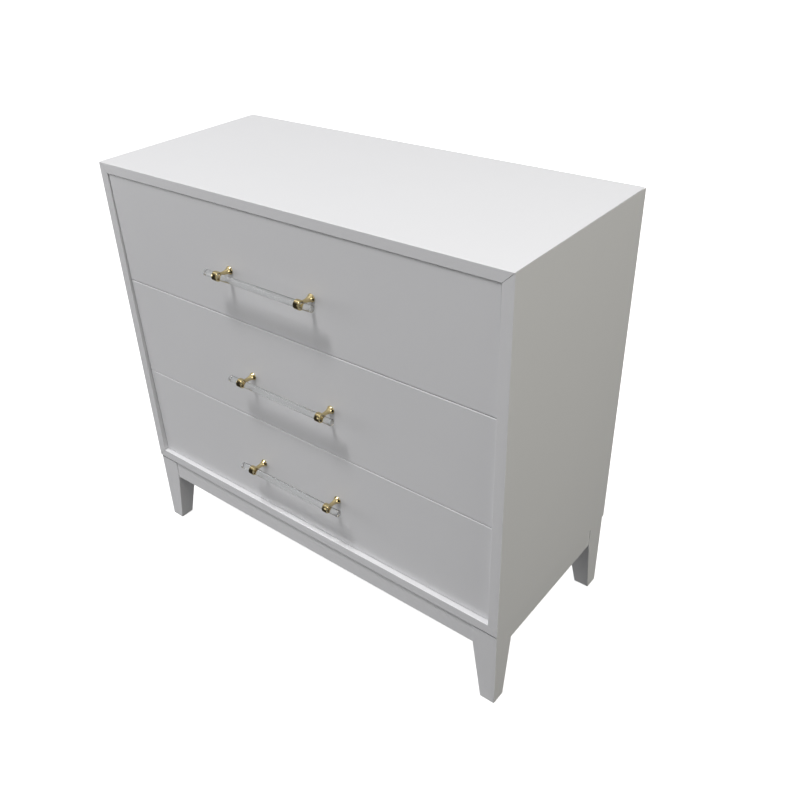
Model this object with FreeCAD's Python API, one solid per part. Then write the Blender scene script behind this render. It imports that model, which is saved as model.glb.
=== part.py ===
import FreeCAD, Part
import math
import os
from FreeCAD import Placement, Rotation, Vector

# A chest of three inset drawers: a mitred lacquered case on a low base with four tapered legs.
# Millimetres. The floor is at zero, +Z is up, -Y is the front and +X is the right of a viewer in front.

# Overall sizes
case_width = 914.0
case_depth = 404.0
case_height = 688.0
base_height = 176.0

# Case panels, divider rails and back
panel_thickness = 20.0
panel_round = 1.0
mitre_line = 0.8
back_thickness = 6.0
back_recess = 2.0
back_overlap = 8.0
rail_thickness = 18.0
rail_depth = 60.0
rail_setback = 2.0
rail_housing = 8.0

# Base: legs, aprons, corner blocks and glides
base_front_inset = 2.0
base_side_inset = 1.2
leg_width = 50.0
leg_taper = 19.0
leg_round = 1.5
apron_height = 46.0
apron_thickness = 20.0
apron_setback = 2.0
apron_round = 1.0
tenon_thickness = 8.0
tenon_length = 20.0
tenon_shoulder = 8.0
shadow_line_height = 4.6
shadow_line_depth = 6.0
shadow_line_stop = 1.5
corner_block_reach = 42.0
corner_block_height = 22.0
glide_diameter = 22.0
glide_thickness = 2.0
glide_round = 0.6
glide_pin_diameter = 3.0
glide_pin_length = 16.0

# Drawer fronts, set inside the case with their faces in one plane that leans in towards the floor
front_thickness = 18.0
front_low_recess = 9.5
front_high_recess = 2.0
front_side_gap = 1.0
front_gap = 1.2
front_bottom_gap = 1.5
front_top_gap = 1.2
front_round = 1.5

# Drawer boxes, dovetailed at the corners, with a tray let into grooves
box_board = 12.0
box_lift = 10.0
box_headroom = 16.0
box_rear_gap = 18.0
tray_thickness = 6.0
tray_groove_depth = 6.0
tray_groove_lift = 10.0
tail_pitch = 34.0

# Three-member ball-bearing runners beside each drawer box
runner_space = 12.7
runner_height = 45.0
runner_sheet = 1.2
runner_race = 2.2
runner_web_gap = 0.6
runner_setback = 2.0
runner_end_gap = 4.0

# Pulls: a clear rod held in the barrels of two turned posts
rod_diameter = 12.5
rod_length = 256.0
rod_end_round = 0.8
pull_spacing = 197.0
pull_stand_off = 30.0
pull_seat_depth = 0.2
barrel_wall = 2.5
barrel_length = 11.5
barrel_round = 0.9
post_neck_wall = 1.8
post_flare = 4.2
post_flare_length = 14.0
post_rim_thickness = 1.0

# Fasteners
pull_screw_diameter = 4.0
pull_screw_grip = 11.0
pull_screw_head_diameter = 8.0
pull_screw_head_height = 2.4
wood_screw_diameter = 3.8
wood_screw_bite = 12.0
wood_screw_point = 5.0
wood_screw_head_diameter = 7.6
wood_screw_head_height = 2.4
front_screw_inset = 36.0
back_screw_diameter = 2.8
back_screw_bite = 14.0
back_screw_point = 4.0
back_screw_head_diameter = 5.6
back_screw_head_height = 1.5
back_screw_margin = 44.0
back_screw_spacing = 160.0

# Clearances, the overrun of every cut and the tolerance that finds an edge by its place
joinery_clearance = 0.1
rod_clearance = 0.05
screw_clearance = 0.1
overrun = 6.0
touch = 0.001

# Drawers and shares, lower drawer first
drawer_names = ("lower", "middle", "upper")
front_height_shares = (0.3278, 0.3312, 0.3410)
pull_height_shares = (0.4925, 0.4662, 0.4476)
pull_shift_shares = (-0.0071, -0.0024, -0.0274)
tail_width_share = 0.58
tail_slope_share = 1 / 6
head_round_share = 0.5
cross_slot_width_share = 0.16
cross_slot_length_share = 0.62
cross_slot_depth_share = 0.55
block_screw_along_share = 0.5
block_screw_off_share = 0.25

# Heights that follow
case_top = base_height + case_height
opening_low = base_height + panel_thickness
opening_high = case_top - panel_thickness


def recess_at(height):
    """How far the plane of the drawer fronts lies behind the case's front edge at a height."""
    rise_share = (height - opening_low) / (opening_high - opening_low)
    return front_low_recess + (front_high_recess - front_low_recess) * rise_share


class Drawer:
    """Heights of one drawer's front, box and pull, and of the rail above it."""

    def __init__(self, level):
        gaps = front_gap * (len(drawer_names) - 1)
        stack = opening_high - opening_low - front_bottom_gap - front_top_gap - gaps
        below = sum(front_height_shares[:level])
        self.name = drawer_names[level]
        self.low = opening_low + front_bottom_gap + stack * below + front_gap * level
        self.high = self.low + stack * front_height_shares[level]
        self.rail_height = self.high + front_gap / 2
        is_lowest = level == 0
        is_highest = level == len(drawer_names) - 1
        bay_low = opening_low if is_lowest else self.low - front_gap / 2 + rail_thickness / 2
        bay_high = opening_high if is_highest else self.rail_height - rail_thickness / 2
        self.box_low = bay_low + box_lift
        self.box_high = bay_high - box_headroom
        self.runner_height = (self.box_low + self.box_high) / 2
        self.pull_height = self.low + (self.high - self.low) * pull_height_shares[level]
        self.pull_middle = 2 * front_half * pull_shift_shares[level]
        self.pull_recess = recess_at(self.pull_height) + pull_seat_depth

    def pull_seat(self):
        """Depth of the flat seats that the pull's posts stand on."""
        return case_front + self.pull_recess

    def rod_depth(self):
        """Depth of the clear rod's axis."""
        return self.pull_seat() - pull_stand_off

    def pull_places(self):
        """Where the two posts stand on the drawer front."""
        return [Vector(self.pull_middle + side * pull_spacing / 2, self.pull_seat(), self.pull_height)
                for side in (-1, 1)]

    def front_screw_places(self):
        """Where the screws that hold the front enter the box, from inside."""
        half = box_inner_half - front_screw_inset
        heights = (self.box_low + front_screw_inset, self.box_high - front_screw_inset)
        return [Vector(x, box_front_inner, z) for x in (-half, half) for z in heights]


# Widths and places in depth that follow
half_width = case_width / 2
inner_half = half_width - panel_thickness
front_half = inner_half - front_side_gap
drawers = [Drawer(level) for level in range(len(drawer_names))]
rail_heights = [drawer.rail_height for drawer in drawers[:-1]]
barrel_diameter = rod_diameter + 2 * (rod_clearance + barrel_wall)
neck_diameter = pull_screw_diameter + 2 * post_neck_wall
rim_diameter = neck_diameter + 2 * post_flare
pull_reach = pull_stand_off + barrel_diameter / 2 - min(drawer.pull_recess for drawer in drawers)
case_front = (pull_reach - case_depth) / 2
case_back = case_front + case_depth
case_middle = (case_front + case_back) / 2
back_outer = case_back - back_recess
back_inner = back_outer - back_thickness
front_back = case_front + front_low_recess + front_thickness
box_half = inner_half - runner_space
box_inner_half = box_half - box_board
box_front_inner = front_back + box_board
box_back = back_inner - box_rear_gap
box_back_inner = box_back - box_board
rail_front = front_back + rail_setback
rail_back = rail_front + rail_depth
runner_front = front_back + runner_setback
runner_back = box_back - runner_end_gap
leg_outer = half_width - base_side_inset
leg_inner = leg_outer - leg_width
leg_front = case_front + base_front_inset
leg_rear = leg_front + leg_width
foot_width = leg_width - leg_taper
apron_low = base_height - apron_height
apron_side = leg_outer - apron_setback
apron_side_inner = apron_side - apron_thickness
apron_front = leg_front + apron_setback
apron_front_inner = apron_front + apron_thickness
tenon_low = apron_low + tenon_shoulder
tenon_high = base_height - tenon_shoulder

# Directions
origin = Vector(0, 0, 0)
right = Vector(1, 0, 0)
rearward = Vector(0, 1, 0)
forward = Vector(0, -1, 0)
up = Vector(0, 0, 1)


def block(low, high):
    """Box between two corners."""
    size = high - low
    return Part.makeBox(size.x, size.y, size.z, low)


def grown(low, high, margin):
    """Box between two corners, larger by a margin on every side."""
    step = Vector(margin, margin, margin)
    return block(low - step, high + step)


def prism(points, sweep):
    """Solid swept from a closed flat outline."""
    return Part.Face(Part.makePolygon(points + points[:1])).extrude(sweep)


def mirrored(shape):
    """The same piece on the other side of the chest."""
    return shape.mirror(origin, right)


def at_the_back(shape):
    """The same piece at the other end of the case's depth."""
    return shape.mirror(rearward * case_middle, rearward)


def at_four_corners(shape):
    """A piece of the front right corner repeated at all four, as separate solids."""
    pair = [shape, mirrored(shape)]
    return Part.makeCompound(pair + [at_the_back(piece) for piece in pair])


def on_both_sides(shape):
    """A piece and its mirror image, as separate solids."""
    return Part.makeCompound([shape, mirrored(shape)])


def rounded(shape, radius, chosen):
    """Shape with the edges that a test on their ends picks rounded over."""
    edges = [edge for edge in shape.Edges if all(chosen(vertex.Point) for vertex in edge.Vertexes)]
    return shape.makeFillet(radius, edges)


def near(value, place):
    """Whether a coordinate is at a place."""
    return abs(value - place) < touch


def placed(shape, point, direction):
    """Shape drawn along +Z, moved to a point and turned to a direction."""
    moved = shape.copy()
    moved.Placement = Placement(point, Rotation(up, direction))
    return moved


def screw_hole(diameter, depth, point, direction):
    """Cutter for a screw's hole, open at the point where the screw enters."""
    radius = diameter / 2 + screw_clearance
    return Part.makeCylinder(radius, depth + overrun, point - direction * overrun, direction)


# Screws are drawn along +Z with the head's seat at zero

def screw_head(diameter, height):
    """Rounded head with a cross slot."""
    head = Part.makeCylinder(diameter / 2, height, up * -height)
    head = rounded(head, height * head_round_share, lambda point: near(point.z, -height))
    half_length = diameter * cross_slot_length_share / 2
    half_slot = diameter * cross_slot_width_share / 2
    depth = height * cross_slot_depth_share
    for half_x, half_y in ((half_length, half_slot), (half_slot, half_length)):
        low = Vector(-half_x, -half_y, -height - overrun)
        head = head.cut(block(low, Vector(half_x, half_y, depth - height)))
    return head


def pointed_screw(diameter, length, point_length, head_diameter, head_height):
    """Wood screw with a conical point."""
    shank = Part.makeCylinder(diameter / 2, length - point_length)
    point = Part.makeCone(diameter / 2, 0, point_length, up * (length - point_length))
    return screw_head(head_diameter, head_height).fuse([shank, point]).removeSplitter()


def pull_screw(grip):
    """Machine screw that passes through a thickness from inside the drawer and holds a pull post."""
    shank = Part.makeCylinder(pull_screw_diameter / 2, grip + pull_screw_grip)
    return screw_head(pull_screw_head_diameter, pull_screw_head_height).fuse(shank).removeSplitter()


def wood_screw(grip):
    """Wood screw that passes through a thickness and bites into what lies behind it."""
    return pointed_screw(wood_screw_diameter, grip + wood_screw_bite, wood_screw_point,
                         wood_screw_head_diameter, wood_screw_head_height)


def back_screw():
    """Small screw that holds the back panel in its rabbet."""
    return pointed_screw(back_screw_diameter, back_thickness + back_screw_bite, back_screw_point,
                         back_screw_head_diameter, back_screw_head_height)


def evenly(low, high, spacing):
    """Places spread evenly from low to high, no further apart than a spacing."""
    count = math.ceil((high - low) / spacing)
    return [low + (high - low) * step / count for step in range(count + 1)]


# Case

def back_screw_places():
    """Screw places all round the back panel's overlap."""
    edge_x = inner_half + back_overlap / 2
    edge_low = opening_low - back_overlap / 2
    edge_high = opening_high + back_overlap / 2
    across = evenly(back_screw_margin - edge_x, edge_x - back_screw_margin, back_screw_spacing)
    upward = evenly(edge_low + back_screw_margin, edge_high - back_screw_margin, back_screw_spacing)
    rows = [Vector(x, back_outer, z) for z in (edge_low, edge_high) for x in across]
    columns = [Vector(x, back_outer, z) for x in (-edge_x, edge_x) for z in upward]
    return rows + columns


def back_screw_holes():
    """Cutters for the back screws."""
    depth = back_thickness + back_screw_bite + screw_clearance
    return [screw_hole(back_screw_diameter, depth, place, forward) for place in back_screw_places()]


def case_shell():
    """Top, sides and bottom in one, before the mitres part them."""
    shell = block(Vector(-half_width, case_front, base_height), Vector(half_width, case_back, case_top))
    shell = shell.makeFillet(panel_round, shell.Edges)
    opening_corner = Vector(inner_half, case_back + overrun, opening_high)
    shell = shell.cut(block(Vector(-inner_half, case_front - overrun, opening_low), opening_corner))

    def on_opening(point):
        inside = abs(point.x) < inner_half + touch
        return inside and near(point.y, case_front) and opening_low - touch < point.z < opening_high + touch

    shell = rounded(shell, panel_round, on_opening)
    rabbet_low = Vector(-inner_half - back_overlap, back_inner, opening_low - back_overlap)
    rabbet_high = Vector(inner_half + back_overlap, case_back + overrun, opening_high + back_overlap)
    shell = shell.cut(block(rabbet_low, rabbet_high))
    shell = shell.cut([grown(*rail_corners(height), joinery_clearance) for height in rail_heights])
    return shell.cut(back_screw_holes() + block_screw_holes())


def mitred(shell, outline):
    """The part of the shell inside an outline drawn across the case's width and height."""
    points = [Vector(x, case_front - overrun, z) for x, z in outline]
    return shell.common(prism(points, rearward * (case_depth + 2 * overrun)))


def level_panel(shell, outer, inner):
    """Top or bottom panel, between its two mitres."""
    way = overrun if outer > inner else -overrun
    wide = half_width + overrun - mitre_line
    narrow = inner_half - overrun - mitre_line
    return mitred(shell, [(-wide, outer + way), (wide, outer + way),
                          (narrow, inner - way), (-narrow, inner - way)])


def right_side_panel(shell):
    """Right side panel, between its two mitres."""
    outer = half_width + overrun
    inner = inner_half - overrun
    return mitred(shell, [(outer, base_height - overrun), (outer, case_top + overrun),
                          (inner, opening_high - overrun), (inner, opening_low + overrun)])


def back_panel():
    """Thin back, screwed into the rabbet at the rear of the case."""
    reach = back_overlap - joinery_clearance
    low = Vector(-inner_half - reach, back_inner, opening_low - reach)
    high = Vector(inner_half + reach, back_outer, opening_high + reach)
    return block(low, high).cut(back_screw_holes())


def back_panel_screws():
    """Screws all round the back panel."""
    return Part.makeCompound([placed(back_screw(), place, forward) for place in back_screw_places()])


def rail_corners(height):
    """Lowest and highest corners of a divider rail, with its ends housed in the sides."""
    reach = inner_half + rail_housing
    half = rail_thickness / 2
    return Vector(-reach, rail_front, height - half), Vector(reach, rail_back, height + half)


def divider_rail(height):
    """Rail behind the gap between two drawer fronts."""
    return block(*rail_corners(height))


# Base

def leg_blank():
    """Front right leg: square at the top, with its two inner faces tapered to the foot."""
    heights = (glide_thickness, base_height, base_height, apron_low, glide_thickness)
    across = (leg_outer, leg_outer, leg_inner, leg_inner, leg_outer - foot_width)
    deep = (leg_front, leg_front, leg_rear, leg_rear, leg_front + foot_width)
    front_view = [Vector(x, leg_front, z) for x, z in zip(across, heights)]
    side_view = [Vector(leg_inner, y, z) for y, z in zip(deep, heights)]
    leg = prism(front_view, rearward * leg_width).common(prism(side_view, right * leg_width))

    def is_shown(edge):
        ends = [vertex.Point for vertex in edge.Vertexes]
        is_level = near(ends[0].z, ends[1].z)
        on_front = all(near(end.y, leg_front) for end in ends)
        on_side = all(near(end.x, leg_outer) for end in ends)
        return not is_level and (on_front or on_side)

    return leg.makeFillet(leg_round, [edge for edge in leg.Edges if is_shown(edge)])


def shadow_line_cutters():
    """Cutters for the shadow line along the front and the back of the base, stopped short of its sides."""
    reach = leg_outer - shadow_line_stop
    low = Vector(-reach, case_front - overrun, base_height - shadow_line_height)
    front = block(low, Vector(reach, leg_front + shadow_line_depth, base_height + overrun))
    return [front, at_the_back(front)]


def front_tenon_corners():
    """Tenon of the front apron in the front right leg."""
    low = Vector(leg_inner, apron_front + (apron_thickness - tenon_thickness) / 2, tenon_low)
    return low, low + Vector(tenon_length, tenon_thickness, tenon_high - tenon_low)


def side_tenon_corners():
    """Tenon of the right apron in the front right leg."""
    high = Vector(apron_side - (apron_thickness - tenon_thickness) / 2, leg_rear, tenon_high)
    return high - Vector(tenon_thickness, tenon_length, tenon_high - tenon_low), high


def foot_middle():
    """Middle of the front right foot, on the floor."""
    return Vector(leg_outer - foot_width / 2, leg_front + foot_width / 2, 0)


def front_right_leg():
    """Leg with its mortises, its part of the shadow line and the hole for its glide."""
    tenons = (front_tenon_corners(), side_tenon_corners())
    mortises = [grown(low, high, joinery_clearance) for low, high in tenons]
    pin_radius = glide_pin_diameter / 2 + joinery_clearance
    pin_height = glide_thickness + glide_pin_length + joinery_clearance
    pin_hole = Part.makeCylinder(pin_radius, pin_height, foot_middle())
    return leg_blank().cut(mortises + shadow_line_cutters() + [pin_hole])


def front_apron():
    """Front apron with a tenon at each end."""
    low = Vector(-leg_inner, apron_front, apron_low)
    board = block(low, Vector(leg_inner, apron_front_inner, base_height))

    def on_lower_edge(point):
        return near(point.y, apron_front) and near(point.z, apron_low)

    board = rounded(board, apron_round, on_lower_edge)
    tenon = block(*front_tenon_corners())
    return board.fuse([tenon, mirrored(tenon)]).cut(shadow_line_cutters()).removeSplitter()


def right_apron():
    """Right apron with a tenon at each end."""
    low = Vector(apron_side_inner, leg_rear, apron_low)
    board = block(low, Vector(apron_side, 2 * case_middle - leg_rear, base_height))

    def on_lower_edge(point):
        return near(point.x, apron_side) and near(point.z, apron_low)

    board = rounded(board, apron_round, on_lower_edge)
    tenon = block(*side_tenon_corners())
    return board.fuse([tenon, at_the_back(tenon)]).removeSplitter()


def block_screw_places():
    """Screw places in the front right corner block, on its lower face."""
    along = corner_block_reach * block_screw_along_share
    off = corner_block_reach * block_screw_off_share
    low = base_height - corner_block_height
    return [Vector(leg_inner - along, apron_front_inner + off, low),
            Vector(apron_side_inner - off, leg_rear + along, low)]


def block_screw_holes():
    """Cutters for the corner block screws at all four corners."""
    depth = corner_block_height + wood_screw_bite + screw_clearance
    holes = [screw_hole(wood_screw_diameter, depth, place, up) for place in block_screw_places()]
    return [hole for group in holes for hole in at_four_corners(group).Solids]


def corner_blocks():
    """Blocks that brace the aprons round each leg and take the screws into the case."""
    x = leg_inner - joinery_clearance
    y = leg_rear + joinery_clearance
    outline = [(x, apron_front_inner), (leg_inner - corner_block_reach, apron_front_inner),
               (apron_side_inner, leg_rear + corner_block_reach), (apron_side_inner, y), (x, y)]
    low = base_height - corner_block_height
    brace = prism([Vector(across, deep, low) for across, deep in outline], up * corner_block_height)
    return at_four_corners(brace.cut(block_screw_holes()))


def corner_block_screws():
    """Screws up through the corner blocks into the case's bottom."""
    screw = wood_screw(corner_block_height)
    groups = [at_four_corners(placed(screw, place, up)) for place in block_screw_places()]
    return Part.makeCompound([solid for group in groups for solid in group.Solids])


def foot_glides():
    """Round glides pinned under the four feet."""
    disc = Part.makeCylinder(glide_diameter / 2, glide_thickness, foot_middle())
    disc = rounded(disc, glide_round, lambda point: near(point.z, 0))
    pin = Part.makeCylinder(glide_pin_diameter / 2, glide_thickness + glide_pin_length, foot_middle())
    return at_four_corners(disc.fuse(pin).removeSplitter())


# Runners

def channel(drawer, web, lip, half_height):
    """Right-hand C-section, placed by how far its web and lips stand off the case side."""
    inside = web + math.copysign(runner_sheet, lip - web)
    step = half_height - runner_sheet
    section = [(web, -half_height), (lip, -half_height), (lip, -step), (inside, -step),
               (inside, step), (lip, step), (lip, half_height), (web, half_height)]
    points = [Vector(inner_half - off, runner_front, drawer.runner_height + z) for off, z in section]
    return prism(points, rearward * (runner_back - runner_front))


def case_runners(drawer):
    """Outer members, fixed to the case sides."""
    return on_both_sides(channel(drawer, 0, runner_space - runner_race, runner_height / 2))


def middle_runners(drawer):
    """Middle members, which travel half as far as the drawer."""
    gap = runner_sheet + runner_web_gap
    half_height = runner_height / 2 - runner_sheet - runner_race
    return on_both_sides(channel(drawer, gap, runner_space - gap, half_height))


def box_runners(drawer):
    """Inner members, fixed to the drawer box."""
    gap = runner_sheet + runner_web_gap
    half_height = runner_height / 2 - 2 * (runner_sheet + runner_race)
    return on_both_sides(channel(drawer, runner_space, 2 * gap, half_height))


# Drawers

def pull_screw_holes(drawer):
    """Cutters for the pull screws through the box and the front."""
    depth = box_front_inner - drawer.pull_seat() + overrun
    heads = [Vector(place.x, box_front_inner, place.z) for place in drawer.pull_places()]
    return [screw_hole(pull_screw_diameter, depth, head, forward) for head in heads]


def front_screw_holes(drawer):
    """Cutters for the screws that hold the drawer front to the box."""
    depth = box_board + wood_screw_bite + screw_clearance
    return [screw_hole(wood_screw_diameter, depth, place, forward) for place in drawer.front_screw_places()]


def drawer_front(drawer):
    """Flat front with eased edges and flat seats for the pull's posts."""
    low_face = Vector(-front_half, case_front + recess_at(drawer.low), drawer.low)
    high_face = Vector(-front_half, case_front + recess_at(drawer.high), drawer.high)
    low_back = Vector(-front_half, front_back, drawer.low)
    high_back = Vector(-front_half, front_back, drawer.high)
    board = prism([low_face, low_back, high_back, high_face], right * (2 * front_half))
    board = rounded(board, front_round, lambda point: near(point.y, case_front + recess_at(point.z)))
    seat_radius = rim_diameter / 2 + joinery_clearance
    seats = [Part.makeCylinder(seat_radius, overrun, place, forward) for place in drawer.pull_places()]
    return board.cut(seats + pull_screw_holes(drawer) + front_screw_holes(drawer))


def tray_corners(drawer):
    """Lowest and highest corners of the tray, edges in their grooves."""
    reach = tray_groove_depth - joinery_clearance
    half = box_inner_half + reach
    height = drawer.box_low + tray_groove_lift
    low = Vector(-half, box_front_inner - reach, height)
    return low, Vector(half, box_back_inner + reach, height + tray_thickness)


def corner_tails(drawer, end, shoulder):
    """Dovetails of the right side board at one end, wider at the end than at the shoulder."""
    height = drawer.box_high - drawer.box_low
    count = max(1, int(height / tail_pitch))
    pitch = height / count
    narrow = pitch * tail_width_share / 2
    wide = narrow + box_board * tail_slope_share
    tails = []
    for step in range(count):
        middle = drawer.box_low + pitch * (step + 1 / 2)
        section = [(end, -wide), (end, wide), (shoulder, narrow), (shoulder, -narrow)]
        points = [Vector(box_inner_half, y, middle + z) for y, z in section]
        tails.append(prism(points, right * box_board))
    return tails


def box_tails(drawer):
    """Dovetails of the right side board at both ends."""
    front = corner_tails(drawer, front_back, box_front_inner)
    return front + corner_tails(drawer, box_back, box_back_inner)


def box_right_side(drawer):
    """Right side board of the drawer box, tails at both ends and a groove for the tray."""
    low = Vector(box_inner_half, front_back, drawer.box_low)
    board = block(low, Vector(box_half, box_back, drawer.box_high))
    front_high = Vector(box_half, box_front_inner, drawer.box_high)
    back_low = Vector(box_inner_half, box_back_inner, drawer.box_low)
    ends = block(low, front_high).fuse(block(back_low, Vector(box_half, box_back, drawer.box_high)))
    pins = ends.cut(box_tails(drawer))
    return board.cut(pins).cut(grown(*tray_corners(drawer), joinery_clearance))


def box_end(drawer, near_y, far_y):
    """Front or back board of the drawer box, pins at both ends and a groove for the tray."""
    board = block(Vector(-box_half, near_y, drawer.box_low), Vector(box_half, far_y, drawer.box_high))
    tails = box_tails(drawer)
    board = board.cut(tails + [mirrored(tail) for tail in tails])
    return board.cut(grown(*tray_corners(drawer), joinery_clearance))


def box_front(drawer):
    """Box's own front board, behind the drawer front."""
    board = box_end(drawer, front_back, box_front_inner)
    return board.cut(pull_screw_holes(drawer) + front_screw_holes(drawer))


def drawer_front_screws(drawer):
    """Screws from inside the box into the drawer front."""
    screw = wood_screw(box_board)
    return Part.makeCompound([placed(screw, place, forward) for place in drawer.front_screw_places()])


# Pulls

def pull_rod(drawer):
    """Clear rod with polished, eased ends."""
    start = Vector(drawer.pull_middle - rod_length / 2, drawer.rod_depth(), drawer.pull_height)
    rod = Part.makeCylinder(rod_diameter / 2, rod_length, start, right)
    return rounded(rod, rod_end_round, lambda point: True)


def post_stem():
    """Turned stem drawn along +Z: a thin rim, a long hollow flare like a bell and a straight neck."""
    rim = rim_diameter / 2
    neck = neck_diameter / 2
    flare_top = post_rim_thickness + post_flare_length
    flare_radius = (post_flare * post_flare + post_flare_length * post_flare_length) / (2 * post_flare)
    half_angle = math.asin(post_flare_length / flare_radius) / 2
    foot = Vector(rim, 0, 0)
    rim_top = Vector(rim, 0, post_rim_thickness)
    hollow_out = neck + flare_radius * (1 - math.cos(half_angle))
    hollow = Vector(hollow_out, 0, flare_top - flare_radius * math.sin(half_angle))
    neck_low = Vector(neck, 0, flare_top)
    neck_high = Vector(neck, 0, pull_stand_off)
    axis_high = up * pull_stand_off
    edges = [Part.makeLine(origin, foot), Part.makeLine(foot, rim_top),
             Part.Arc(rim_top, hollow, neck_low).toShape(), Part.makeLine(neck_low, neck_high),
             Part.makeLine(neck_high, axis_high), Part.makeLine(axis_high, origin)]
    return Part.Face(Part.Wire(edges)).revolve(origin, up, 360)


def pull_post(place):
    """Brass post: the stem and the barrel that holds the rod."""
    barrel_start = place + forward * pull_stand_off - right * (barrel_length / 2)
    barrel = Part.makeCylinder(barrel_diameter / 2, barrel_length, barrel_start, right)
    barrel = rounded(barrel, barrel_round, lambda point: True)
    bore_radius = rod_diameter / 2 + rod_clearance
    bore_start = barrel_start - right * overrun
    bore = Part.makeCylinder(bore_radius, barrel_length + 2 * overrun, bore_start, right)
    thread = screw_hole(pull_screw_diameter, pull_screw_grip + screw_clearance, place, forward)
    return placed(post_stem(), place, forward).fuse(barrel).removeSplitter().cut([bore, thread])


def pull_posts(drawer):
    """The two posts of one pull."""
    return Part.makeCompound([pull_post(place) for place in drawer.pull_places()])


def pull_screws(drawer):
    """The two screws that hold the posts."""
    screw = pull_screw(box_front_inner - drawer.pull_seat())
    heads = [Vector(place.x, box_front_inner, place.z) for place in drawer.pull_places()]
    return Part.makeCompound([placed(screw, head, forward) for head in heads])


def case_parts():
    """Pieces of the case, by name."""
    shell = case_shell()
    side = right_side_panel(shell)
    lower_rail, upper_rail = rail_heights
    return {
        "top_panel": level_panel(shell, case_top, opening_high),
        "bottom_panel": level_panel(shell, base_height, opening_low),
        "left_side_panel": mirrored(side),
        "right_side_panel": side,
        "back_panel": back_panel(),
        "back_panel_screws": back_panel_screws(),
        "lower_divider_rail": divider_rail(lower_rail),
        "upper_divider_rail": divider_rail(upper_rail),
    }


def base_parts():
    """Pieces of the base, by name."""
    leg = front_right_leg()
    return {
        "front_left_leg": mirrored(leg),
        "front_right_leg": leg,
        "back_left_leg": at_the_back(mirrored(leg)),
        "back_right_leg": at_the_back(leg),
        "front_apron": front_apron(),
        "back_apron": at_the_back(front_apron()),
        "left_apron": mirrored(right_apron()),
        "right_apron": right_apron(),
        "corner_blocks": corner_blocks(),
        "corner_block_screws": corner_block_screws(),
        "foot_glides": foot_glides(),
    }


def drawer_parts(drawer):
    """Pieces of one drawer and its runners, by name."""
    side = box_right_side(drawer)
    return {
        f"{drawer.name}_drawer_front": drawer_front(drawer),
        f"{drawer.name}_box_front": box_front(drawer),
        f"{drawer.name}_box_left_side": mirrored(side),
        f"{drawer.name}_box_right_side": side,
        f"{drawer.name}_box_back": box_end(drawer, box_back_inner, box_back),
        f"{drawer.name}_box_tray": block(*tray_corners(drawer)),
        f"{drawer.name}_front_screws": drawer_front_screws(drawer),
        f"{drawer.name}_pull_rod": pull_rod(drawer),
        f"{drawer.name}_pull_posts": pull_posts(drawer),
        f"{drawer.name}_pull_screws": pull_screws(drawer),
        f"{drawer.name}_case_runners": case_runners(drawer),
        f"{drawer.name}_middle_runners": middle_runners(drawer),
        f"{drawer.name}_box_runners": box_runners(drawer),
    }


def build_chest():
    """Write every piece to its own file."""
    pieces = {**case_parts(), **base_parts()}
    for drawer in drawers:
        pieces.update(drawer_parts(drawer))
    os.makedirs("parts", exist_ok=True)
    for name, shape in pieces.items():
        shape.exportStep(f"parts/{name}.step")


build_chest()
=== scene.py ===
import logging
import math
from collections.abc import Mapping, Sequence
from dataclasses import dataclass
from enum import Enum

import bmesh
import bpy
from mathutils import Matrix, Vector


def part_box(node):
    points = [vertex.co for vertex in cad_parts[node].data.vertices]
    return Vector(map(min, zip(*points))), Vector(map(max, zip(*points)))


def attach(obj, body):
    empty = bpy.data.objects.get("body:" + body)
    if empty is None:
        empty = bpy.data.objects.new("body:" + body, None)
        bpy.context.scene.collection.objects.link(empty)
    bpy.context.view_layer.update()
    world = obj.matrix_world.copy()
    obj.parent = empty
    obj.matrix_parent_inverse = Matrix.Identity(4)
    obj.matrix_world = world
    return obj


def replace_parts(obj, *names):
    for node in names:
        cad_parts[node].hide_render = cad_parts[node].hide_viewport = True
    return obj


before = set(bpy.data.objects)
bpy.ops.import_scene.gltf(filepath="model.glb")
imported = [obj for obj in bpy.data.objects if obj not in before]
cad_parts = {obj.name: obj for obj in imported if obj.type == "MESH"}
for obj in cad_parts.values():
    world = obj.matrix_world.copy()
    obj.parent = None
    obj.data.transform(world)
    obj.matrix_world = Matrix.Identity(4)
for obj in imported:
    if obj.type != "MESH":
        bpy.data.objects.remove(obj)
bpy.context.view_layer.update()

# A white lacquered chest of three drawers, with clear rod pulls on brass posts and a low base on tapered
# legs. Lengths are in metres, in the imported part's own frame: the floor at zero, +Z up and -Y out of the
# drawer fronts.

MM = 0.001
DRAWERS = ("lower", "middle", "upper")
# Edges that turn by more than this stay crisp
CREASE = math.radians(40)
# Width of a wave texture's rings at a scale of one, in metres
WAVE_WIDTH = 0.31
Outline = list[tuple[float, float]]
log = logging.getLogger("chest")


def linear(colour: str) -> tuple[float, float, float, float]:
    """Turn an sRGB hex value into a linear colour.

    Args:
        colour: Six hex digits after a hash sign.

    Returns:
        Red, green, blue and an alpha of one.
    """
    parts = [int(colour[start:start + 2], 16) / 255 for start in (1, 3, 5)]
    red, green, blue = (
        part / 12.92 if part <= 0.04045 else ((part + 0.055) / 1.055) ** 2.4
        for part in parts)
    return red, green, blue, 1.0


def add_node(
        tree: bpy.types.NodeTree, kind: str, inputs: Mapping | None = None,
        **settings: object) -> bpy.types.Node:
    """Add one node with its settings and links.

    Args:
        tree: Tree that gets the node.
        kind: Blender's own name of the node.
        inputs: What each input takes, by its name or number: a value, or another node's output.
        settings: The node's other properties.

    Returns:
        The new node.
    """
    node = tree.nodes.new(kind)
    for key, value in settings.items():
        setattr(node, key, value)
    for key, value in (inputs or {}).items():
        if isinstance(value, bpy.types.NodeSocket):
            tree.links.new(value, node.inputs[key])
        else:
            node.inputs[key].default_value = value
    return node


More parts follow.
